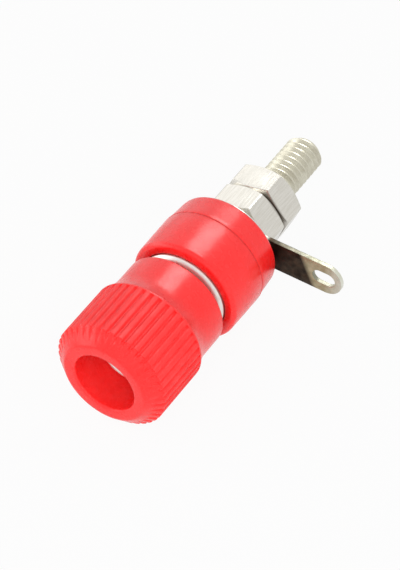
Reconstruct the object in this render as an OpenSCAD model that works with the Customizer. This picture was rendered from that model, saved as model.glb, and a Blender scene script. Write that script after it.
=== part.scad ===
// Panel socket for a 4 mm plug, with a knurled knob that also clamps a bare wire.
// The socket's axis lies along Y and its front looks to -Y. The origin is on the axis, in the plane
// where the front and rear insulators meet and where a panel would be clamped. The solder tag points to +X.

/* [Knob] */
// Diameter over the knurl
knob_d = 12; // [11.4:0.1:14]
// Length of the knob from its collar's end to its front face
knob_l = 12.5; // [11.5:0.1:15]
// Length of the smooth collar behind the knurl
collar_l = 2.7; // [1.5:0.1:3.5]
// Length of the hollow flare from collar to knurl
flare_l = 2.2; // [1.5:0.1:3]
// Radial height of the flare
flare_h = 0.6; // [0.4:0.05:0.8]
// Chamfer round the front face
nose_chamfer = 1.5; // [0.8:0.1:1.8]
// Radius that softens the two edges of the chamfer
nose_soft_r = 0.5; // [0.2:0.05:0.7]
// Radius round the mouth and the collar's end
soft_r = 0.25; // [0.1:0.05:0.3]
// Number of knurl grooves
groove_n = 41; // [24:1:44]
// Width of a knurl groove at the surface
groove_w = 0.42; // [0.3:0.02:0.5]
// Depth of a knurl groove
groove_depth = 0.26; // [0.2:0.02:0.4]
// Plain band between the flare and the grooves
groove_land = 0.15; // [0.05:0.05:0.5]
// Open space round the post inside the mouth
mouth_clear = 0.3; // [0.2:0.05:0.5]
// Gap for a wire between the knob and the post's flange
wire_gap = 0.8; // [0.4:0.1:1.5]

/* [Insert] */
// Length of the threaded insert in the knob
insert_l = 6; // [5:0.1:7]
// Wall of the insert
insert_wall = 1; // [0.8:0.05:1.2]
// Width of the groove that locks the insert in the moulding
lock_w = 1.4; // [1:0.1:2]
// Depth of the groove that locks the insert in the moulding
lock_depth = 0.4; // [0.2:0.05:0.5]

/* [Post] */
// Bore of the socket
socket_d = 4; // [3.8:0.05:4.2]
// Chamfer that leads a plug into the socket
socket_lead = 0.4; // [0.2:0.05:0.6]
// Wall of the post's tube
tube_wall = 1; // [0.8:0.05:1.2]
// Length of the tube in front of the flange
tube_l = 9.7; // [9:0.1:11]
// Thickness of the flange
flange_t = 1.2; // [1:0.1:1.4]
// Height of the flange over the front insulator's face
flange_proud = 0.5; // [0.3:0.05:0.6]
// Chamfer round the flange's front edge
flange_edge = 0.4; // [0.2:0.05:0.5]
// Length of the hexagonal key behind the flange
key_l = 1.5; // [1:0.1:1.8]
// Metal left under the socket's drilled point
socket_floor = 1.4; // [1:0.1:1.6]
// Diameter of the cross hole for a wire
wire_hole_d = 2.2; // [1.6:0.1:2.4]
// Distance from the flange to the edge of the wire hole
wire_hole_edge = 0.4; // [0.2:0.05:0.8]
// Diameter of the stud
stud_d = 4; // [3.8:0.05:4.2]
// Length of stud past the outer nut
stud_free = 7.3; // [5:0.1:12]
// Chamfer on the stud's end
stud_chamfer = 0.5; // [0.3:0.05:0.7]
// Pitch of the thread on the stud's free end
thread_pitch = 0.7; // [0.5:0.05:1]

/* [Insulators] */
// Diameter of the front insulator at the panel
base_d = 11.7; // [11.2:0.1:13]
// Length of the front insulator in front of the panel
base_l = 5; // [4.4:0.1:6]
// How much the front insulator narrows to its front, on the radius
base_taper = 0.05; // [0:0.01:0.15]
// Radius round the front insulator's front edge
base_round = 0.5; // [0.2:0.05:0.6]
// Width of the front insulator's face round the flange
rim_w = 1.2; // [1:0.05:1.4]
// Diameter of the spigot that goes through the panel
spigot_d = 7; // [6.6:0.1:8]
// Length of the spigot
spigot_l = 1.8; // [1.2:0.1:2]
// Length of the rear insulator
ring_l = 3; // [2.6:0.1:4]
// How much the rear insulator narrows to its back, on the radius
ring_taper = 0.25; // [0.1:0.05:0.4]
// Radius round the rear insulator's back edge
ring_round = 0.4; // [0.2:0.05:0.6]
// Edge break of the two insulators where they meet
seam_edge = 0.1; // [0.05:0.01:0.2]

/* [Hardware] */
// Outside diameter of the plain washer
washer_d = 9; // [8:0.1:9.6]
// Thickness of the plain washer
washer_t = 0.8; // [0.5:0.05:1]
// Thickness of the solder tag
tag_t = 0.5; // [0.3:0.05:0.8]
// Width of the solder tag's arm
tag_w = 3.6; // [3:0.1:4.4]
// Diameter of the solder tag's eye round the stud
tag_eye_d = 7.4; // [6.6:0.1:8]
// Reach of the solder tag from the stud's axis to its tip
tag_reach = 12.4; // [11:0.1:15]
// Width of the solder slot
slot_w = 1.6; // [1:0.1:1.8]
// Length of the solder slot
slot_l = 2.5; // [2:0.1:3.5]
// Metal between the solder slot and the tag's tip
slot_web = 0.75; // [0.6:0.05:1.3]
// Width across the flats of a nut
nut_af = 7; // [6.6:0.1:8]
// Height of a nut
nut_h = 3.2; // [2.2:0.1:4]
// Turn of the clamp nut, from the tag's direction
clamp_nut_turn = 11; // [0:1:59]
// Turn of the lock nut, from the tag's direction
lock_nut_turn = 8; // [0:1:59]

/* [Fits] */
// Radial clearance of threads and of the insert in the knob
thread_clear = 0.05; // [0.03:0.01:0.1]
// Radial clearance of holes over the stud
stud_clear = 0.15; // [0.1:0.05:0.25]
// Clearance of the spigot, the flange and the key in their seats
seat_clear = 0.1; // [0.05:0.05:0.15]

/* [Hidden] */
$fn = 96;

red_plastic = "#e02020";
nickel = "#c9c6bf";
tinned = "#8d8577";

// Distances along the axis, counted forward from the panel plane
flange_front = base_l + flange_proud;
flange_back = flange_front - flange_t;
key_back = flange_back - key_l;
tube_front = flange_front + tube_l;
knob_back = flange_front + wire_gap;
knob_front = knob_back + knob_l;
knurl_back = knob_back + collar_l + flare_l;
insert_front = knob_back + insert_l;
lock_front = knob_back + (insert_l + lock_w) / 2;
lock_back = lock_front - lock_w;
washer_front = -ring_l;
tag_front = washer_front - washer_t;
clamp_nut_front = tag_front - tag_t;
lock_nut_front = clamp_nut_front - nut_h;
stud_back = lock_nut_front - nut_h - stud_free;

// Radii that follow from the driving sizes
knob_r = knob_d / 2;
collar_r = knob_r - flare_h;
lip_r = knob_r - nose_chamfer;
socket_r = socket_d / 2;
tube_r = socket_r + tube_wall;
mouth_r = tube_r + mouth_clear;
insert_bore_r = tube_r + thread_clear;
insert_r = insert_bore_r + insert_wall;
lock_r = insert_r - lock_depth;
stud_r = stud_d / 2;
stud_hole_r = stud_r + stud_clear;
base_r = base_d / 2;
base_front_r = base_r - base_taper;
flange_r = base_front_r - rim_w;
key_af = 2 * tube_r;

// The flare is one arc that leaves the collar along the axis and rises to the knurl
flare_r = (flare_l * flare_l + flare_h * flare_h) / (2 * flare_h);
flare_sweep = asin(flare_l / flare_r);
flare_steps = 8;

// How far the nose's roundings reach along each side of an edge that turns by 45 degrees
nose_run = nose_soft_r * tan(45 / 2);

// A 118 degree drill leaves this cone at the end of the socket
drill_half_angle = 59;
drill_point = socket_r / tan(drill_half_angle);

// The stud's thread: 60 degree flanks, a crest an eighth of the pitch wide and a root a quarter wide
thread_crest = thread_pitch / 8;
thread_root = thread_pitch / 4;
thread_flank = (thread_pitch - thread_crest - thread_root) / 2;
thread_depth = thread_flank / tan(30);
thread_back = stud_back + stud_chamfer + thread_root;
thread_turns = floor((stud_free - stud_chamfer - thread_root) / thread_pitch);

// Draws along Z what lies along the socket's axis, with its front at +Z
module along_axis() {
    rotate([90, 0, 0])
        children();
}

// Points of the flare's arc, from the collar to the knurl
function flare_points() = [
    for (i = [0 : flare_steps])
        let (a = flare_sweep * i / flare_steps)
            [collar_r + flare_r * (1 - cos(a)), knob_back + collar_l + flare_r * sin(a)]
];

// Half outline of the knob: the points are the ends of its straight lines, the circles its roundings
module knob_profile() {
    nose_back = knob_front - nose_chamfer - nose_run;
    nose_reach = lip_r - nose_run;
    slant = nose_soft_r * cos(45);
    polygon(concat(
        [
            [insert_r + thread_clear, knob_back],
            [collar_r - soft_r, knob_back],
            [collar_r, knob_back + soft_r]
        ],
        flare_points(),
        [
            [knob_r, nose_back],
            [knob_r - nose_soft_r + slant, nose_back + slant],
            [nose_reach + slant, knob_front - nose_soft_r + slant],
            [nose_reach, knob_front],
            [mouth_r + soft_r, knob_front],
            [mouth_r, knob_front - soft_r],
            [mouth_r, insert_front + thread_clear],
            [insert_r + thread_clear, insert_front + thread_clear],
            [insert_r + thread_clear, lock_front - thread_clear],
            [lock_r + thread_clear, lock_front - thread_clear],
            [lock_r + thread_clear, lock_back + thread_clear],
            [insert_r + thread_clear, lock_back + thread_clear]
        ]
    ));
    translate([collar_r - soft_r, knob_back + soft_r])
        circle(r = soft_r);
    translate([knob_r - nose_soft_r, nose_back])
        circle(r = nose_soft_r);
    translate([nose_reach, knob_front - nose_soft_r])
        circle(r = nose_soft_r);
    translate([mouth_r + soft_r, knob_front - soft_r])
        circle(r = soft_r);
}

// One knurl groove: a tapered channel that runs out through the nose and ends short of the flare
module knurl_groove() {
    floor_w = groove_w / 3;
    over = groove_depth;
    slope = (groove_w - floor_w) / 2 / groove_depth;
    groove_back = knurl_back + groove_land;
    translate([0, 0, groove_back])
        linear_extrude(knob_front - groove_back)
            polygon([
                [knob_r - groove_depth, -floor_w / 2],
                [knob_r - groove_depth, floor_w / 2],
                [knob_r + over, groove_w / 2 + slope * over],
                [knob_r + over, -groove_w / 2 - slope * over]
            ]);
}

// Red moulding that is turned by hand: knurl, hollow flare and smooth collar round the open mouth
module clamp_knob() {
    pitch_angle = 360 / groove_n;
    // the first groove stands a little over half a pitch from the tag's direction
    first_groove = 0.56 * pitch_angle;
    color(red_plastic)
        along_axis()
            difference() {
                rotate_extrude()
                    knob_profile();
                for (i = [0 : groove_n - 1])
                    rotate([0, 0, first_groove + i * pitch_angle])
                        knurl_groove();
            }
}

// Plated bush moulded into the knob, with the thread that runs on the post
module knob_insert() {
    edge = 0.2;
    color(nickel)
        along_axis()
            rotate_extrude()
                polygon([
                    [insert_bore_r + edge, knob_back],
                    [insert_r, knob_back],
                    [insert_r, lock_back],
                    [lock_r, lock_back],
                    [lock_r, lock_front],
                    [insert_r, lock_front],
                    [insert_r, insert_front],
                    [insert_bore_r + edge, insert_front],
                    [insert_bore_r, insert_front - edge],
                    [insert_bore_r, knob_back + edge]
                ]);
}

// Points of the thread on the stud's free end, drawn as rings: each turn falls to the root and rises again
function thread_points() = [
    for (i = [0 : thread_turns - 1])
        let (z = thread_back + i * thread_pitch)
            each [
                [stud_r, z],
                [stud_r - thread_depth, z + thread_flank],
                [stud_r - thread_depth, z + thread_flank + thread_root],
                [stud_r, z + 2 * thread_flank + thread_root]
            ]
];

// Nickel-plated post turned from one bar: socket tube, flange, hexagonal key and threaded stud
module post() {
    edge = 0.2;
    wire_hole_z = flange_front + wire_hole_edge + wire_hole_d / 2;
    color(nickel)
        along_axis()
            difference() {
                union() {
                    rotate_extrude()
                        polygon([
                            [0, stud_back],
                            [stud_r - stud_chamfer, stud_back],
                            [stud_r, stud_back + stud_chamfer],
                            each thread_points(),
                            [stud_r, flange_back],
                            [flange_r, flange_back],
                            [flange_r, flange_front - flange_edge],
                            [flange_r - flange_edge, flange_front],
                            [tube_r, flange_front],
                            [tube_r, tube_front - edge],
                            [tube_r - edge, tube_front],
                            [socket_r + socket_lead, tube_front],
                            [socket_r, tube_front - socket_lead],
                            [socket_r, key_back + socket_floor + drill_point],
                            [0, key_back + socket_floor]
                        ]);
                    translate([0, 0, key_back])
                        difference() {
                            cylinder(h = key_l, d = key_af / cos(30), $fn = 6);
                            translate([0, 0, socket_floor])
                                cylinder(h = drill_point, r1 = 0, r2 = socket_r);
                            translate([0, 0, socket_floor + drill_point])
                                cylinder(h = key_l, r = socket_r);
                        }
                }
                translate([0, 0, wire_hole_z])
                    cylinder_across(wire_hole_d);
            }
}

// A drill that passes right through the post, upright in the finished socket
module cylinder_across(d) {
    rotate([90, 0, 0])
        cylinder(h = 4 * tube_r, d = d, center = true);
}

// Red moulding in front of the panel: it seats the post's flange and key, and its spigot centres it
module front_insulator() {
    over = 0.5;
    color(red_plastic)
        along_axis()
            difference() {
                rotate_extrude() {
                    polygon([
                        [stud_hole_r, -spigot_l],
                        [spigot_d / 2 - soft_r, -spigot_l],
                        [spigot_d / 2, soft_r - spigot_l],
                        [spigot_d / 2, 0],
                        [base_r - seam_edge, 0],
                        [base_r, seam_edge],
                        [base_front_r, base_l - base_round],
                        [base_front_r - base_round, base_l],
                        [stud_hole_r, base_l]
                    ]);
                    translate([base_front_r - base_round, base_l - base_round])
                        circle(r = base_round);
                }
                translate([0, 0, flange_back])
                    cylinder(h = flange_t + over, r = flange_r + seat_clear);
                translate([0, 0, key_back])
                    cylinder(h = key_l + over, d = (key_af + 2 * seat_clear) / cos(30), $fn = 6);
            }
}

// Red moulding behind the panel: a tapered ring whose recess takes the spigot
module rear_insulator() {
    recess_r = spigot_d / 2 + seat_clear;
    recess_l = spigot_l + seat_clear;
    back_r = base_r - ring_taper;
    color(red_plastic)
        along_axis()
            rotate_extrude() {
                polygon([
                    [recess_r, 0],
                    [recess_r, -recess_l],
                    [stud_hole_r, -recess_l],
                    [stud_hole_r, -ring_l],
                    [back_r - ring_round, -ring_l],
                    [back_r, ring_round - ring_l],
                    [base_r, -seam_edge],
                    [base_r - seam_edge, 0]
                ]);
                translate([back_r - ring_round, ring_round - ring_l])
                    circle(r = ring_round);
            }
}

// Plain washer that spreads the nut's load over the rear insulator
module washer() {
    color(nickel)
        along_axis()
            translate([0, 0, tag_front])
                difference() {
                    cylinder(h = washer_t, d = washer_d);
                    translate([0, 0, -washer_t])
                        cylinder(h = 3 * washer_t, r = stud_hole_r);
                }
}

// Solder tag stamped from tinned brass sheet: an eye on the stud, an arm and an oblong slot
module solder_tag() {
    tip_x = tag_reach - tag_w / 2;
    slot_end_x = tag_reach - slot_web - slot_w / 2;
    slot_run = slot_l - slot_w;
    color(tinned)
        along_axis()
            translate([0, 0, clamp_nut_front])
                linear_extrude(tag_t)
                    difference() {
                        union() {
                            circle(d = tag_eye_d);
                            translate([0, -tag_w / 2])
                                square([tip_x, tag_w]);
                            translate([tip_x, 0])
                                circle(d = tag_w);
                        }
                        circle(r = stud_hole_r);
                        translate([slot_end_x, 0])
                            circle(d = slot_w);
                        translate([slot_end_x - slot_run, 0])
                            circle(d = slot_w);
                        translate([slot_end_x - slot_run, -slot_w / 2])
                            square([slot_run, slot_w]);
                    }
}

// Hexagon nut with 30 degree chamfers on both faces, its front face at z = 0
module hex_nut() {
    corner_r = nut_af / 2 / cos(30);
    face_share = 0.95;
    face_r = face_share * nut_af / 2;
    chamfer_h = (corner_r - face_r) * tan(30);
    bore_r = stud_r + thread_clear;
    sink = 0.3;
    intersection() {
        translate([0, 0, -nut_h])
            cylinder(h = nut_h, r = corner_r, $fn = 6);
        rotate_extrude()
            polygon([
                [bore_r + sink, 0],
                [face_r, 0],
                [corner_r, -chamfer_h],
                [corner_r, chamfer_h - nut_h],
                [face_r, -nut_h],
                [bore_r + sink, -nut_h],
                [bore_r, sink - nut_h],
                [bore_r, -sink]
            ]);
    }
}

// Nut that clamps the stack to the panel
module clamp_nut() {
    color(nickel)
        along_axis()
            translate([0, 0, clamp_nut_front])
                rotate([0, 0, clamp_nut_turn])
                    hex_nut();
}

// Second nut that locks the first, or holds a ring terminal
module lock_nut() {
    color(nickel)
        along_axis()
            translate([0, 0, lock_nut_front])
                rotate([0, 0, lock_nut_turn])
                    hex_nut();
}

clamp_knob();
knob_insert();
post();
front_insulator();
rear_insulator();
washer();
solder_tag();
clamp_nut();
lock_nut();
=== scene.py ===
import math

import bmesh
import bpy
import numpy as np
from mathutils import Matrix, Vector


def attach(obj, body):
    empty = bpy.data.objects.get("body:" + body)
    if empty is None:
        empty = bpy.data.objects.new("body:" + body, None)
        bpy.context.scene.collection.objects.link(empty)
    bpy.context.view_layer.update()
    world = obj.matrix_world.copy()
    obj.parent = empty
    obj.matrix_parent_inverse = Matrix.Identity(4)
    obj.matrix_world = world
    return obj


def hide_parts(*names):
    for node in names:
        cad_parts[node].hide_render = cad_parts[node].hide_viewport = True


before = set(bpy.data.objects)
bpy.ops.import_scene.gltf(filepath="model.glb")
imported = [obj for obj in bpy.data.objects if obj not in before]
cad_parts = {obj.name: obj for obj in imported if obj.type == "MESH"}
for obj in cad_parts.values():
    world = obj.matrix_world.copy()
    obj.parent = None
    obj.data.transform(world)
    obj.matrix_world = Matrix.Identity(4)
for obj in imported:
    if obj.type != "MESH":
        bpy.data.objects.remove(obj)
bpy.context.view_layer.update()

# Post
# One nickel-plated brass bar, turned and threaded: a tube for the plug in front, a flange, a hexagonal key
# that holds it against turning in the red body, and an M4 stud behind. The tube has an M6 x 0.75 thread
# for the knob and a cross hole for a bare wire. The nuts on the stud clamp it in the insulators.
mm = 0.001
stud_r = 2.0
stud_end = -18.0
stud_end_r = 1.5
stud_thread_front = -3.0
stud_pitch = 0.7
key_across = 6.0
key_turn = 30
key_back = 2.8
key_front = 4.3
flange_r = 4.6
flange_front = 5.5
tube_r = 3.0
tube_end_r = 2.55
tube_front = 15.2
tube_thread_back = 5.8
tube_pitch = 0.75
plug_bore_r = 2.0
plug_bore_end = 5.4
plug_bore_point = 4.2
wire_hole_r = 1.1
wire_hole_ahead = 7.0
wire_drill_length = 8
post_turns = np.linspace(0, 2 * math.pi, 121)


def turned(name, rows, turns, ring):
    """A closed mesh round the socket's axis. Each row is a radius and a distance in front of the panel, in
    millimetres, given once or for every angle in turns, which go once round to where they began. A ring
    closes on its first row, and a bar ends on the axis. Points that meet are joined, also a thread's turn
    to its next."""
    same_spot = 5e-8
    radius = np.array([np.broadcast_to(r, turns.shape) for r, _ in rows])
    ahead = np.array([np.broadcast_to(s, turns.shape) for _, s in rows])
    spots = np.stack([radius * np.cos(turns), -ahead, radius * np.sin(turns)], axis=-1) * mm
    index = np.arange(radius.size).reshape(radius.shape)
    if ring:
        index = np.vstack([index, index[:1]])
    quads = np.stack([index[:-1, :-1], index[1:, :-1], index[1:, 1:], index[:-1, 1:]], axis=-1)
    mesh = bpy.data.meshes.new(name)
    mesh.from_pydata(spots.reshape(-1, 3).tolist(), [], quads.reshape(-1, 4).tolist())
    work = bmesh.new()
    work.from_mesh(mesh)
    bmesh.ops.remove_doubles(work, verts=work.verts, dist=same_spot)
    bmesh.ops.recalc_face_normals(work, faces=work.faces)
    work.to_mesh(mesh)
    work.free()
    piece = bpy.data.objects.new(name, mesh)
    bpy.context.scene.collection.objects.link(piece)
    return piece


def smooth(piece, crease=35):
    """Smooth faces with crisp edges where the surface breaks by more than the crease angle."""
    piece.data.polygons.foreach_set("use_smooth", [True] * len(piece.data.polygons))
    piece.data.set_sharp_from_angle(angle=math.radians(crease))


def screw_thread(back, front, crest, end, pitch, turns):
    """Rows of a right-hand thread that follow its helix, with a chamfer down to the end radius at each end.
    The profile of one turn goes along by shares of the pitch and down by shares of the depth."""
    profile = ((-0.085, 0.07), (-0.05, 0), (0.05, 0), (0.085, 0.07),
               (0.36, 0.94), (0.42, 1), (0.58, 1), (0.64, 0.94))
    depth = 0.541 * pitch
    rows = []
    for turn in range(math.floor(back / pitch) - 2, math.ceil(front / pitch) + 1):
        for onward, deep in profile:
            ahead = np.clip(pitch * (turn + onward + turns / (2 * math.pi)), back, front)
            chamfer = end + np.minimum(ahead - back, front - ahead)
            rows.append((np.minimum(crest - deep * depth, chamfer), ahead))
    return rows


def hexagon(across, turns, turned_by):
    """Radius of a hexagonal bar at every angle, with one flat facing the angle turned_by."""
    off = (turns - math.radians(turned_by) + math.pi / 6) % (math.pi / 3) - math.pi / 6
    return across / 2 / np.cos(off)


key = hexagon(key_across, post_turns, key_turn)
key_edge = hexagon(key_across - 0.2, post_turns, key_turn)
post_rows = [(0, stud_end)]
post_rows += screw_thread(stud_end, stud_thread_front, stud_r, stud_end_r, stud_pitch, post_turns)
post_rows += [(stud_r, stud_thread_front + 0.5), (stud_r, key_back)]
post_rows += [(key_edge, key_back), (key, key_back + 0.1), (key, key_front)]
post_rows += [(flange_r - 0.1, key_front), (flange_r, key_front + 0.1)]
post_rows += [(flange_r, flange_front - 0.42), (flange_r - 0.01, flange_front - 0.39)]
post_rows += [(flange_r - 0.37, flange_front - 0.03), (flange_r - 0.43, flange_front)]
post_rows += [(3.6, flange_front), (2.7, flange_front), (tube_end_r, flange_front + 0.1)]
post_rows += screw_thread(tube_thread_back, tube_front, tube_r, tube_end_r, tube_pitch, post_turns)
post_rows += [(plug_bore_r + 0.5, tube_front), (plug_bore_r + 0.42, tube_front)]
post_rows += [(plug_bore_r + 0.38, tube_front - 0.02), (plug_bore_r + 0.02, tube_front - 0.38)]
post_rows += [(plug_bore_r, tube_front - 0.43), (plug_bore_r, 10)]
post_rows += [(plug_bore_r, plug_bore_end), (0, plug_bore_point)]
post = turned("turned_post", post_rows, post_turns, ring=False)

drill = bmesh.new()
bmesh.ops.create_cone(drill, cap_ends=True, segments=64, radius1=wire_hole_r * mm, radius2=wire_hole_r * mm,
                      depth=wire_drill_length * mm)
bmesh.ops.translate(drill, verts=drill.verts, vec=Vector((0, -wire_hole_ahead, 0)) * mm)
drill_mesh = bpy.data.meshes.new("wire_hole_drill")
drill.to_mesh(drill_mesh)
drill.free()
wire_drill = bpy.data.objects.new("wire_hole_drill", drill_mesh)
bpy.context.scene.collection.objects.link(wire_drill)
cross_hole = post.modifiers.new("cross_hole", "BOOLEAN")
cross_hole.operation = "DIFFERENCE"
cross_hole.solver = "EXACT"
cross_hole.object = wire_drill
bpy.context.view_layer.update()
drilled = bpy.data.meshes.new_from_object(post.evaluated_get(bpy.context.evaluated_depsgraph_get()))
post.modifiers.clear()
post.data = drilled
bpy.data.objects.remove(wire_drill)
smooth(post)

noise_low = 0.3
noise_high = 0.7


def grain(tree, per_mm, detail=3.0, stretch=(1, 1, 1)):
    """Noise in the piece's own millimetres, so that it stays on the piece as that moves."""
    place = tree.nodes.new("ShaderNodeTexCoord")
    scale = tree.nodes.new("ShaderNodeMapping")
    noise = tree.nodes.new("ShaderNodeTexNoise")
    scale.inputs["Scale"].default_value = [per_mm * k / mm for k in stretch]
    noise.inputs["Scale"].default_value = 1.0
    noise.inputs["Detail"].default_value = detail
    tree.links.new(place.outputs["Object"], scale.inputs["Vector"])
    tree.links.new(scale.outputs["Vector"], noise.inputs["Vector"])
    return noise.outputs["Fac"]


def lathe_marks(tree, per_mm):
    """Fine rings left by the lathe: noise that changes with the radius and the place along the axis only."""
    place = tree.nodes.new("ShaderNodeTexCoord")
    across = tree.nodes.new("ShaderNodeVectorMath")
    length = tree.nodes.new("ShaderNodeVectorMath")
    apart = tree.nodes.new("ShaderNodeSeparateXYZ")
    joined = tree.nodes.new("ShaderNodeCombineXYZ")
    noise = tree.nodes.new("ShaderNodeTexNoise")
    across.operation = "MULTIPLY"
    across.inputs[1].default_value = (1, 0, 1)
    length.operation = "LENGTH"
    noise.noise_dimensions = "2D"
    noise.inputs["Scale"].default_value = per_mm / mm
    noise.inputs["Detail"].default_value = 2.0
    tree.links.new(place.outputs["Object"], across.inputs[0])
    tree.links.new(across.outputs["Vector"], length.inputs[0])
    tree.links.new(place.outputs["Object"], apart.inputs["Vector"])
    tree.links.new(length.outputs["Value"], joined.inputs["X"])
    tree.links.new(apart.outputs["Y"], joined.inputs["Y"])
    tree.links.new(joined.outputs["Vector"], noise.inputs["Vector"])
    return noise.outputs["Fac"]


def shades(tree, amount, dark, light):
    """A colour that follows a noise, from dark to light."""
    ramp = tree.nodes.new("ShaderNodeValToRGB")
    first, last = ramp.color_ramp.elements
    first.position = noise_low
    first.color = (*dark, 1)
    last.position = noise_high
    last.color = (*light, 1)
    tree.links.new(amount, ramp.inputs["Fac"])
    return ramp.outputs["Color"]


def spread(tree, amount, low, high):
    """Noise stretched over a range, such as a roughness from low to high."""
    fitted = tree.nodes.new("ShaderNodeMapRange")
    fitted.inputs["From Min"].default_value = noise_low
    fitted.inputs["From Max"].default_value = noise_high
    fitted.inputs["To Min"].default_value = low
    fitted.inputs["To Max"].default_value = high
    tree.links.new(amount, fitted.inputs["Value"])
    return fitted.outputs["Result"]


def relief(tree, surface, *layers):
    """Bumps on a surface: each layer is a noise and its height in millimetres."""
    last = None
    for amount, height in layers:
        bump = tree.nodes.new("ShaderNodeBump")
        bump.inputs["Distance"].default_value = height * mm
        tree.links.new(amount, bump.inputs["Height"])
        if last:
            tree.links.new(last, bump.inputs["Normal"])
        last = bump.outputs["Normal"]
    tree.links.new(last, surface.inputs["Normal"])


def new_finish(name, metal):
    """An empty finish: the material, its node tree and its surface."""
    finish = bpy.data.materials.new(name)
    finish.use_nodes = True
    surface = finish.node_tree.nodes["Principled BSDF"]
    surface.inputs["Metallic"].default_value = metal
    return finish, finish.node_tree, surface


def along(tree, start, end, lean=(1, 0, 0)):
    """0 before one place along the piece and 1 after another, in millimetres in the direction of lean."""
    place = tree.nodes.new("ShaderNodeTexCoord")
    measure = tree.nodes.new("ShaderNodeVectorMath")
    ramp = tree.nodes.new("ShaderNodeMapRange")
    measure.operation = "DOT_PRODUCT"
    measure.inputs[1].default_value = lean
    ramp.inputs["From Min"].default_value = start * mm
    ramp.inputs["From Max"].default_value = end * mm
    tree.links.new(place.outputs["Object"], measure.inputs[0])
    tree.links.new(measure.outputs["Value"], ramp.inputs["Value"])
    return ramp.outputs["Result"]


def blended(tree, share, first, second):
    """One colour that goes over into another as the share grows from 0 to 1."""
    mixed = tree.nodes.new("ShaderNodeMix")
    mixed.data_type = "RGBA"
    for source, socket in ((share, "Factor"), (first, "A"), (second, "B")):
        tree.links.new(source, mixed.inputs[socket])
    return mixed.outputs["Result"]


nickel_turned, tree, surface = new_finish("nickel_plated_turned_brass", 1.0)
# Painted light and shade: the plate is painted lighter on the flange and tube, and darker and warmer on the
# stud.
plate_painted_light = shades(tree, grain(tree, 0.9), (0.78, 0.765, 0.72), (0.88, 0.87, 0.83))
plate_painted_shade = shades(tree, grain(tree, 0.9), (0.56, 0.53, 0.43), (0.69, 0.67, 0.56))
painted_shade_on_stud = along(tree, 4, 8, (0, 1, 0))
tree.links.new(blended(tree, painted_shade_on_stud, plate_painted_light, plate_painted_shade), surface.inputs["Base Color"])
tree.links.new(spread(tree, grain(tree, 2.5), 0.34, 0.48), surface.inputs["Roughness"])
relief(tree, surface, (lathe_marks(tree, 14), 0.004), (grain(tree, 6), 0.002))
post.data.materials.append(nickel_turned)
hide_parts("post")
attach(post, "socket")

# Front insulator
# The red body between the knob and the panel: a moulded plastic cylinder with soft edges, a round pocket for
# the post's flange, a hexagonal pocket for its key and a spigot behind that centres it in the panel's hole.
stud_hole_r = 2.15
spigot_r = 3.5
spigot_back = -1.8
body_seam_r = 5.74
body_mid_r = 5.83
body_front = 5.0
body_edge = 0.5
seam_edge = 0.11
flange_pocket_r = 4.7
pocket_edge = 0.1
body_turns = np.linspace(0, 2 * math.pi, 145)
key_pocket = hexagon(key_across + 0.2, body_turns, key_turn)


def arc(centre, radius, start, end, steps):
    """Points along a rounding, from one angle to another in degrees."""
    return [(centre[0] + radius * math.cos(math.radians(a)), centre[1] + radius * math.sin(math.radians(a)))
            for a in np.linspace(start, end, steps + 1)]


front_rows = [(stud_hole_r, spigot_back), (spigot_r - 0.2, spigot_back), (spigot_r, spigot_back + 0.2)]
front_rows += [(spigot_r, 0), (body_seam_r, 0)]
front_rows += arc((body_seam_r, seam_edge), seam_edge, -90, 0, 3)
front_rows += [(body_mid_r, 2.3)]
front_rows += arc((5.3, body_front - body_edge), body_edge, 2, 90, 10)
front_rows += arc((flange_pocket_r + pocket_edge, body_front - pocket_edge), pocket_edge, 90, 180, 4)
front_rows += [(flange_pocket_r, key_front), (key_pocket, key_front)]
front_rows += [(key_pocket, key_back), (stud_hole_r, key_back)]
front_body = turned("front_body", front_rows, body_turns, ring=True)
smooth(front_body)


def in_seam(tree, at, reach):
    """Near 1 in a seam that runs round the piece and 0 from the reach on, in millimetres along the axis."""
    place = tree.nodes.new("ShaderNodeTexCoord")
    apart = tree.nodes.new("ShaderNodeSeparateXYZ")
    across = tree.nodes.new("ShaderNodeMath")
    either_side = tree.nodes.new("ShaderNodeMath")
    fade = tree.nodes.new("ShaderNodeMapRange")
    across.operation = "SUBTRACT"
    across.inputs[1].default_value = at * mm
    either_side.operation = "ABSOLUTE"
    fade.inputs["From Min"].default_value = reach / 5 * mm
    fade.inputs["From Max"].default_value = reach * mm
    fade.inputs["To Min"].default_value = 0.85
    fade.inputs["To Max"].default_value = 0.0
    tree.links.new(place.outputs["Object"], apart.inputs["Vector"])
    tree.links.new(apart.outputs["Y"], across.inputs[0])
    tree.links.new(across.outputs["Value"], either_side.inputs[0])
    tree.links.new(either_side.outputs["Value"], fade.inputs["Value"])
    return fade.outputs["Result"]


def red_finish(name, red, pale, smoothest, roughest):
    """Red plastic that lets a little light in: moulded shiny, or paler and dull from the texture of its
    mould. Dust sits in the seam between the two insulators."""
    finish, tree, surface = new_finish(name, 0.0)
    deep_red = (red, pale, pale)
    light_red = (red + 0.04, 1.4 * pale, 1.4 * pale)
    clean = shades(tree, grain(tree, 0.35, 4), deep_red, light_red)
    dusty = shades(tree, grain(tree, 3, 4), (0.5, 0.006, 0.006), (0.75, 0.01, 0.01))
    tree.links.new(blended(tree, in_seam(tree, 0, 0.11), clean, dusty), surface.inputs["Base Color"])
    tree.links.new(spread(tree, grain(tree, 1.3, 4), smoothest, roughest), surface.inputs["Roughness"])
    surface.inputs["Subsurface Weight"].default_value = 0.3
    surface.inputs["Subsurface Radius"].default_value = (1.0, 0.02, 0.02)
    surface.inputs["Subsurface Scale"].default_value = 0.6 * mm
    relief(tree, surface, (grain(tree, 5, 2), 0.0012), (grain(tree, 0.8, 2), 0.006))
    return finish


red_moulding = red_finish("red_moulded_plastic", 0.88, 0.013, 0.22, 0.32)
front_body.data.materials.append(red_moulding)
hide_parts("front_insulator")
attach(front_body, "socket")

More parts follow.
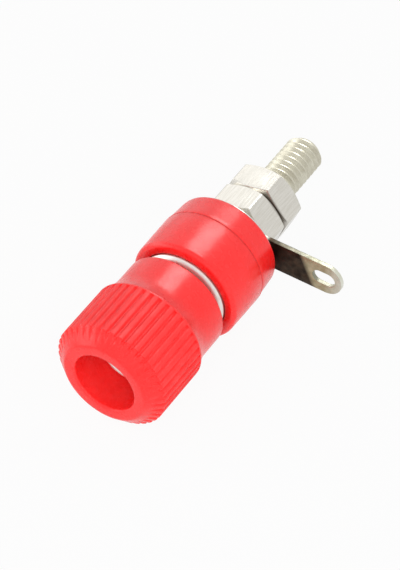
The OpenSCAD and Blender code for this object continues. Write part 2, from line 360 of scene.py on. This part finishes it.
# Rear insulator
# A moulded red plastic ring behind the panel, tapered towards the back and recessed in front for the spigot.
# The washer presses it home.
rear_back = -3.0
rear_edge = 0.4
recess_r = 3.6
recess_back = -1.9
rear_rows = [(stud_hole_r, rear_back), (5.15, rear_back)]
rear_rows += arc((5.2, rear_back + rear_edge), rear_edge, -90, -5, 8)
rear_rows += [(body_seam_r, -0.6)]
rear_rows += arc((5.73, -seam_edge), seam_edge, -5, 90, 3)
rear_rows += [(recess_r + 0.1, 0), (recess_r, -0.1), (recess_r, recess_back), (stud_hole_r, recess_back)]
rear_ring = turned("rear_ring", rear_rows, body_turns, ring=True)
smooth(rear_ring)
rear_ring.data.materials.append(red_moulding)
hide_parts("rear_insulator")
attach(rear_ring, "socket")

# Washer
# A plain steel washer, punched and nickel plated. It sits on the stud between the red ring and the solder
# tag, and spreads the pressure of the first nut over the ring.
washer_r = 4.5
washer_front = -3.0
washer_back = -3.8
washer_edge = 0.12
washer_rows = [(stud_hole_r, washer_front - 0.05), (stud_hole_r + 0.05, washer_front)]
washer_rows += arc((washer_r - washer_edge, washer_front - washer_edge), washer_edge, 90, 0, 4)
washer_rows += arc((washer_r - washer_edge, washer_back + washer_edge), washer_edge, 0, -90, 4)
washer_rows += [(stud_hole_r + 0.05, washer_back), (stud_hole_r, washer_back + 0.05)]
flat_washer = turned("flat_washer", washer_rows, post_turns, ring=True)
smooth(flat_washer)

nickel_drawn, tree, surface = new_finish("nickel_plated_drawn_steel", 1.0)
drawn_colour = shades(tree, grain(tree, 1.2), (0.60, 0.585, 0.54), (0.70, 0.69, 0.65))
tree.links.new(drawn_colour, surface.inputs["Base Color"])
tree.links.new(spread(tree, grain(tree, 3, 3, (3, 0.25, 3)), 0.18, 0.36), surface.inputs["Roughness"])
relief(tree, surface, (grain(tree, 5, 2, (4, 0.2, 4)), 0.004), (grain(tree, 1.5, 2), 0.006))
flat_washer.data.materials.append(nickel_drawn)
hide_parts("washer")
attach(flat_washer, "socket")

# Solder tag
# A flat tag stamped from thin brass and tinned: an eye round the stud, a strip to one side with a round end
# and an oblong slot for the wire. It is clamped between the washer and the first nut.
tag_front = -3.8
tag_back = -4.3
tag_edge = 0.06
rim_angle = 1.2
eye_r = 3.7
strip_r = 1.8
strip_end = 10.6
slot_middle = 10.4
slot_half = 0.45
slot_r = 0.8
neck = math.degrees(math.asin(strip_r / eye_r))
outline = arc((0, 0), eye_r, neck, 360 - neck, 72) + arc((strip_end, 0), strip_r, -90, 90, 32)
eye = arc((0, 0), stud_hole_r, 0, 354, 59)
slot = arc((slot_middle + slot_half, 0), slot_r, -90, 90, 16)
slot += arc((slot_middle - slot_half, 0), slot_r, 90, 270, 16)

stamped = bmesh.new()
for loop in (outline, eye, slot):
    corners = [stamped.verts.new((x * mm, -tag_front * mm, z * mm)) for x, z in loop]
    for one, other in zip(corners, corners[1:] + corners[:1]):
        stamped.edges.new((one, other))
bmesh.ops.triangle_fill(stamped, use_beauty=True, edges=stamped.edges[:])
sheet = bmesh.ops.extrude_face_region(stamped, geom=stamped.faces[:])
moved = [v for v in sheet["geom"] if isinstance(v, bmesh.types.BMVert)]
bmesh.ops.translate(stamped, verts=moved, vec=(0, (tag_front - tag_back) * mm, 0))
bmesh.ops.recalc_face_normals(stamped, faces=stamped.faces)
rim = [e for e in stamped.edges if e.calc_face_angle(0) > rim_angle]
bmesh.ops.bevel(stamped, geom=rim, offset=tag_edge * mm, segments=3, affect="EDGES", profile=0.5)
tag_mesh = bpy.data.meshes.new("solder_lug")
stamped.to_mesh(tag_mesh)
stamped.free()
solder_lug = bpy.data.objects.new("solder_lug", tag_mesh)
bpy.context.scene.collection.objects.link(solder_lug)
smooth(solder_lug, 30)


def tin_with_painted_light(name, start, end, dim_shades, bright_shades):
    """Tin that is bright on the eye, with a painted dark reflection on the strip up to a border that runs
    across it from start to end, painted dim next to that and painted brighter at the strip's end. dim_shades
    and bright_shades are each a dark and a light colour."""
    finish, tree, surface = new_finish(name, 1.0)
    # Painted dark reflection: the dark colour on the strip's root stands in for a dark thing mirrored there.
    painted_dark_reflection = shades(tree, grain(tree, 1.1, 4), (0.013, 0.008, 0.005), (0.07, 0.047, 0.03))
    dim_tin = shades(tree, grain(tree, 1.6, 4), *dim_shades)
    bright_tin = shades(tree, grain(tree, 1.6, 4), *bright_shades)
    # Painted light: the tin goes from a dim colour to a brighter one towards the strip's end.
    tin = blended(tree, along(tree, 10.5, 12.5), dim_tin, bright_tin)
    strip = blended(tree, along(tree, start, end, (1, 0, 0.43)), painted_dark_reflection, tin)
    tree.links.new(blended(tree, along(tree, 3.4, 4.2), bright_tin, strip), surface.inputs["Base Color"])
    tree.links.new(spread(tree, grain(tree, 2, 4), 0.4, 0.56), surface.inputs["Roughness"])
    relief(tree, surface, (grain(tree, 3, 3), 0.008), (grain(tree, 10, 2), 0.002))
    return finish


face_dim_tin = ((0.33, 0.28, 0.17), (0.48, 0.42, 0.28))
face_bright_tin = ((0.56, 0.53, 0.45), (0.68, 0.65, 0.58))
# Brighter colours for the tag's rim: a painted highlight along its edges.
rim_dim_highlight = ((0.46, 0.46, 0.34), (0.68, 0.68, 0.55))
rim_bright_highlight = ((0.74, 0.74, 0.64), (0.86, 0.86, 0.79))
# The faces get the painted dark reflection up to the border.
solder_lug.data.materials.append(tin_with_painted_light("tin_painted_dark_reflection", 8.35, 8.95, face_dim_tin, face_bright_tin))
# The rim gets the painted dark reflection spread wider and the brighter colours as a painted highlight.
solder_lug.data.materials.append(tin_with_painted_light("tin_painted_rim_highlight", 5.0, 13.0, rim_dim_highlight, rim_bright_highlight))
for face in solder_lug.data.polygons:
    on_rim = abs(face.normal.y) < 0.7
    face.material_index = int(on_rim)
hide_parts("solder_tag")
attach(solder_lug, "socket")

# Nuts
# Two M4 hexagon nuts, drawn steel with bright nickel plate and both ends chamfered. The first clamps the
# socket in its panel, the second locks it. Their seam is painted dark on the low side: painted shade.
nut_across = 7
nut_corner_r = 4.0
nut_height = 3.2
nut_face_r = 3.325
nut_bore_r = 2.05
chamfer_lean = math.tan(math.radians(30))
flat_share = np.radians([-30, -28.95, -27.5, -24, -18, -10, 0, 10, 18, 24, 27.5, 28.95])
first_nut_front = -4.3
second_nut_front = -7.5

bright_plate, tree, surface = new_finish("bright_nickel_plate", 1.0)
plate = shades(tree, grain(tree, 2, 3, (3, 0.25, 3)), (0.59, 0.567, 0.51), (0.68, 0.66, 0.61))
# Painted shade: a dark colour in the seam between the nuts, on their low side only.
seam_painted_shade = shades(tree, grain(tree, 3), (0.08, 0.064, 0.048), (0.13, 0.1, 0.075))
low_side_shade_mask = tree.nodes.new("ShaderNodeMath")
low_side_shade_mask.operation = "MULTIPLY"
tree.links.new(in_seam(tree, -second_nut_front, 0.36), low_side_shade_mask.inputs[0])
tree.links.new(along(tree, -1.4, -0.2, (0.9, 0, -0.44)), low_side_shade_mask.inputs[1])
tree.links.new(blended(tree, low_side_shade_mask.outputs["Value"], plate, seam_painted_shade), surface.inputs["Base Color"])
tree.links.new(spread(tree, grain(tree, 3, 3, (3, 0.25, 3)), 0.21, 0.27), surface.inputs["Roughness"])
relief(tree, surface, (grain(tree, 5, 2, (4, 0.2, 4)), 0.0015), (grain(tree, 0.8, 2), 0.006))


def hexagon_nut(name, node, front, turned_by):
    """A nut whose end cones meet its six flats, in rows from its bore's front edge round to the back."""
    turns = np.concatenate([math.radians(turned_by + 60 * side) + flat_share for side in range(6)])
    turns = np.append(turns, turns[0] + 2 * math.pi)
    back = front - nut_height
    flats = np.minimum(hexagon(nut_across, turns, turned_by), nut_corner_r)
    fall = (flats - nut_face_r) * chamfer_lean
    cone = [nut_face_r + (flats - nut_face_r) * share for share in (0.0, 0.06, 0.5, 0.94)]
    rows = [(nut_bore_r, front - 0.35), (nut_bore_r + 0.3, front - 0.02), (nut_bore_r + 0.4, front)]
    rows += [(nut_face_r - 0.08, front)]
    rows += [(r, front - 0.01 - (r - nut_face_r) * chamfer_lean) for r in cone]
    rows += [(flats, front - 0.05 - fall), (flats, back + 0.05 + fall)]
    rows += [(r, back + 0.01 + (r - nut_face_r) * chamfer_lean) for r in reversed(cone)]
    rows += [(nut_face_r - 0.08, back)]
    rows += [(nut_bore_r + 0.4, back), (nut_bore_r + 0.3, back + 0.02), (nut_bore_r, back + 0.35)]
    nut = turned(name, rows, turns, ring=True)
    smooth(nut, 24)
    nut.data.materials.append(bright_plate)
    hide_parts(node)
    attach(nut, "socket")


hexagon_nut("first_nut", "clamp_nut", first_nut_front, 41)
hexagon_nut("second_nut", "lock_nut", second_nut_front, 38)

# Knob insert
# A turned and plated brass bush, threaded on the post's tube, with a groove that locks it in the plastic
# moulded round it.
bush_r = 4.05
bush_bore_r = 3.05
bush_back = 6.3
bush_front = 12.3
lock_groove_r = 3.65
lock_groove_back = 8.6
lock_groove_front = 10.0
bush_rows = [(bush_bore_r, bush_back + 0.3), (bush_bore_r + 0.25, bush_back)]
bush_rows += [(bush_r - 0.1, bush_back), (bush_r, bush_back + 0.1)]
bush_rows += [(bush_r, lock_groove_back - 0.1), (bush_r - 0.1, lock_groove_back)]
bush_rows += [(lock_groove_r, lock_groove_back), (lock_groove_r, lock_groove_front)]
bush_rows += [(bush_r - 0.1, lock_groove_front), (bush_r, lock_groove_front + 0.1)]
bush_rows += [(bush_r, bush_front - 0.1), (bush_r - 0.1, bush_front)]
bush_rows += [(bush_bore_r + 0.25, bush_front), (bush_bore_r, bush_front - 0.25)]
knob_bush = turned("knob_bush", bush_rows, post_turns, ring=True)
smooth(knob_bush, 30)
knob_bush.data.materials.append(nickel_turned)
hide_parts("knob_insert")
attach(knob_bush, "insert")

# Knob
# The red screw-down knob, moulded in plastic round its brass bush: a smooth collar behind, a hollow flare, a
# ring of knurl grooves that run out through the softened nose, and an open mouth for the plug.
knob_r = 6.0
knob_front = 18.8
collar_r = 5.4
collar_back = 6.3
collar_edge = 0.25
flare_r = 4.333
flare_back = 9.0
flare_length = 2.2
knurl_back = 11.28
shoulder_ahead = 17.463
shoulder_edge = 0.08
nose_angle = 49.5
nose_in = 0.761
nose_ahead = 0.649
nose_steps = np.array((1, 2, 3, 4, 5, 6, 7, 9, 12, 16, 20)) * 0.08
nose_edge = 0.5
mouth_r = 3.3
mouth_edge = 0.25
bush_seat_r = 4.1
bush_seat_front = 12.35
lock_ridge_r = 3.7
lock_ridge_front = 9.95
lock_ridge_back = 8.65
grooves = 41
groove_pitch = 360 / grooves
first_groove = 0.56
groove_end = 18.3
groove_run_out = 0.7
groove_half = ((0.0, 0.26), (0.55, 0.255), (0.85, 0.235), (1.3, 0.15),
               (1.75, 0.065), (2.15, 0.022), (2.7, 0.005), (groove_pitch / 2, 0.0))
across = [-a for a, _ in reversed(groove_half[1:-1])] + [a for a, _ in groove_half]
depth_across = [d for _, d in reversed(groove_half[1:-1])] + [d for _, d in groove_half]
groove_middles = [groove_pitch * (first_groove + k) for k in range(grooves)]
knob_turns = np.radians(np.concatenate([middle + np.array(across) for middle in groove_middles]))
knob_turns = np.append(knob_turns, knob_turns[0] + 2 * math.pi)
groove = np.append(np.tile(depth_across, grooves), depth_across[0])

knob_rows = [(bush_seat_r, collar_back), (5.1, collar_back)]
knob_rows += arc((collar_r - collar_edge, collar_back + collar_edge), collar_edge, -90, 0, 6)
knob_rows += [(collar_r, 7.8)]
knob_rows += [(collar_r + flare_r - flare_r * math.cos(a), flare_back + flare_r * math.sin(a))
              for a in np.linspace(0, math.asin(flare_length / flare_r), 11)]
knob_rows += [(knob_r, knurl_back), (knob_r, knurl_back + 0.06), (knob_r - 0.8 * groove, knurl_back + 0.1)]
knob_rows += [(knob_r - groove, ahead) for ahead in (knurl_back + 0.18, 12.6, 14.0, 15.4, 16.6)]
nose = arc((knob_r - shoulder_edge, shoulder_ahead), shoulder_edge, 0, nose_angle, 4)
cone_r, cone_back = nose[-1]
nose += [(cone_r - nose_in * d, cone_back + nose_ahead * d) for d in nose_steps]
nose += arc((4.293, knob_front - nose_edge), nose_edge, nose_angle, 90, 6)
for r, ahead in nose:
    share = min(max((groove_end - ahead) / groove_run_out, 0), 1)
    knob_rows.append((r - groove * share, ahead))
knob_rows += [(4.0, knob_front)]
knob_rows += arc((mouth_r + mouth_edge, knob_front - mouth_edge), mouth_edge, 90, 180, 6)
knob_rows += [(mouth_r, 15.5), (mouth_r, bush_seat_front)]
knob_rows += [(bush_seat_r, bush_seat_front), (bush_seat_r, lock_ridge_front)]
knob_rows += [(lock_ridge_r, lock_ridge_front), (lock_ridge_r, lock_ridge_back)]
knob_rows += [(bush_seat_r, lock_ridge_back)]
knurled_knob = turned("knurled_knob", knob_rows, knob_turns, ring=True)
smooth(knurled_knob)

knurled_knob.data.materials.append(red_moulding)
knurled_knob.data.materials.append(red_finish("red_textured_grip", 0.88, 0.024, 0.5, 0.62))
# The inside of the mouth is painted a brighter red, as painted light in its shaded hollow.
knurled_knob.data.materials.append(red_finish("red_mouth_painted_light", 0.95, 0.02, 0.22, 0.32))
for face in knurled_knob.data.polygons:
    out = math.hypot(face.center.x, face.center.z) / mm
    ahead = -face.center.y / mm
    on_grip = out > 5.5 and 11.3 < ahead < 17.4
    in_mouth = out < 3.4 and ahead > 12.3
    if on_grip:
        face.material_index = 1
    elif in_mouth:
        face.material_index = 2
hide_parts("clamp_knob")
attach(knurled_knob, "knob")

# Floor
# A wide sheet of white paper that the socket lies on, and no part of it. What is seen of the sheet, straight
# or mirrored in metal, is nearly all a white of its own, with a faint part of the socket's shadow.
sheet_half = 3.0
sheet_z = -6.03 * mm
sheet_glow = 0.94
sheet_corners = [(x * sheet_half, y * sheet_half, sheet_z) for x, y in ((-1, -1), (1, -1), (1, 1), (-1, 1))]
sheet_mesh = bpy.data.meshes.new("white_sheet")
sheet_mesh.from_pydata(sheet_corners, [], [(0, 1, 2, 3)])
white_sheet = bpy.data.objects.new("white_sheet", sheet_mesh)
bpy.context.scene.collection.objects.link(white_sheet)


def seen_directly(tree):
    """1 for what the camera sees, straight or in a shiny surface, and 0 for light that falls on things."""
    rays = tree.nodes.new("ShaderNodeLightPath")
    total = rays.outputs["Is Camera Ray"]
    for kind in ("Is Glossy Ray", "Is Transmission Ray"):
        either = tree.nodes.new("ShaderNodeMath")
        either.operation = "MAXIMUM"
        tree.links.new(total, either.inputs[0])
        tree.links.new(rays.outputs[kind], either.inputs[1])
        total = either.outputs["Value"]
    return total


paper, tree, surface = new_finish("white_paper", 0.0)
surface.inputs["Base Color"].default_value = (0.6, 0.6, 0.6, 1)
surface.inputs["Roughness"].default_value = 0.9
surface.inputs["Specular IOR Level"].default_value = 0.0
own_white = tree.nodes.new("ShaderNodeMath")
own_white.operation = "MULTIPLY"
own_white.inputs[1].default_value = sheet_glow
tree.links.new(seen_directly(tree), own_white.inputs[0])
glow = tree.nodes.new("ShaderNodeEmission")
blend = tree.nodes.new("ShaderNodeMixShader")
tree.links.new(own_white.outputs["Value"], blend.inputs["Fac"])
tree.links.new(surface.outputs["BSDF"], blend.inputs[1])
tree.links.new(glow.outputs["Emission"], blend.inputs[2])
tree.links.new(blend.outputs["Shader"], tree.nodes["Material Output"].inputs["Surface"])
sheet_mesh.materials.append(paper)

# Light
# A white room all round and seven soft lamps. The one above makes only highlights, such as the long one on
# the red barrels. The two at the left light the socket and show in its metal, and the other four give even
# light with no highlight of their own.
room = bpy.data.worlds.new("white_room")
room.use_nodes = True
bpy.context.scene.world = room
tree = room.node_tree
walls = tree.nodes["Background"]
walls.inputs["Color"].default_value = (1, 1, 1, 1)
walls.inputs["Strength"].default_value = 0.3
backdrop = tree.nodes.new("ShaderNodeBackground")
backdrop.inputs["Color"].default_value = (1, 1, 1, 1)
backdrop.inputs["Strength"].default_value = 1.0
blend = tree.nodes.new("ShaderNodeMixShader")
tree.links.new(seen_directly(tree), blend.inputs["Fac"])
tree.links.new(walls.outputs["Background"], blend.inputs[1])
tree.links.new(backdrop.outputs["Background"], blend.inputs[2])
tree.links.new(blend.outputs["Shader"], tree.nodes["World Output"].inputs["Surface"])


def soft_lamp(name, way, distance, across, brightness, lights=True, mirrored=True):
    """A soft lamp that faces the socket from one side, across by its width and height. Brightness 1 is as
    bright as a white wall. A lamp can light the socket without a highlight of its own, or be a highlight
    only."""
    lamp = bpy.data.lights.new(name, "AREA")
    lamp.shape = "RECTANGLE"
    lamp.size, lamp.size_y = across
    lamp.energy = brightness * math.pi * lamp.size * lamp.size_y
    stand = bpy.data.objects.new(name, lamp)
    bpy.context.scene.collection.objects.link(stand)
    way = Vector(way).normalized()
    facing = way.to_track_quat("Z", "Y").to_matrix().to_4x4()
    stand.matrix_world = Matrix.Translation(way * distance) @ facing
    stand.visible_camera = False
    stand.visible_diffuse = lights
    stand.visible_glossy = mirrored


soft_lamp("lamp_above", (-0.12, 0.575, 0.81), 0.25, (0.13, 0.13), 5.6, lights=False)
soft_lamp("lamp_left", (-0.74, 0.57, 0.36), 0.3, (0.34, 0.34), 0.4)
soft_lamp("lamp_corner", (-0.93, -0.37, 0.2), 0.3, (0.32, 0.13), 1.4)
soft_lamp("lamp_front", (0.34, -0.75, 0.57), 0.5, (0.45, 0.45), 3.15, mirrored=False)
soft_lamp("lamp_right", (0.97, -0.1, 0.2), 0.5, (0.45, 0.45), 1.6, mirrored=False)
soft_lamp("lamp_high_left", (-0.6, -0.3, 0.6), 0.5, (0.45, 0.45), 0.8, mirrored=False)
soft_lamp("lamp_behind", (0.25, 0.65, 0.5), 0.5, (0.45, 0.45), 1.0, mirrored=False)

# Camera
# Stands in front of the socket, to its right and well above, a foot away, with a long lens. The socket's
# axis then runs from the lower left of the picture to the upper right.
turn = math.radians(31.9)
rise = math.radians(47.4)
tilt = math.radians(0.68)
camera_distance = 295
aim_ahead = 2.41
aim_right = 0.227
aim_down = 0.906
right = Vector((math.cos(turn), math.sin(turn), 0))
up = Vector((-math.sin(turn) * math.sin(rise), math.cos(turn) * math.sin(rise), math.cos(rise)))
away = right.cross(up)
aim = Vector((0, -aim_ahead * mm, 0)) + right * aim_right * mm - up * aim_down * mm
spot = aim + away * camera_distance * mm
lens = bpy.data.cameras.new("photo_camera")
lens.lens = 193.2
lens.sensor_width = 36.0
lens.sensor_fit = "AUTO"
photo_camera = bpy.data.objects.new("photo_camera", lens)
bpy.context.scene.collection.objects.link(photo_camera)
facing = Matrix((right, up, away)).transposed().to_4x4()
photo_camera.matrix_world = Matrix.Translation(spot) @ facing @ Matrix.Rotation(tilt, 4, "Z")
bpy.context.scene.camera = photo_camera
bpy.context.scene.view_settings.view_transform = "Standard"
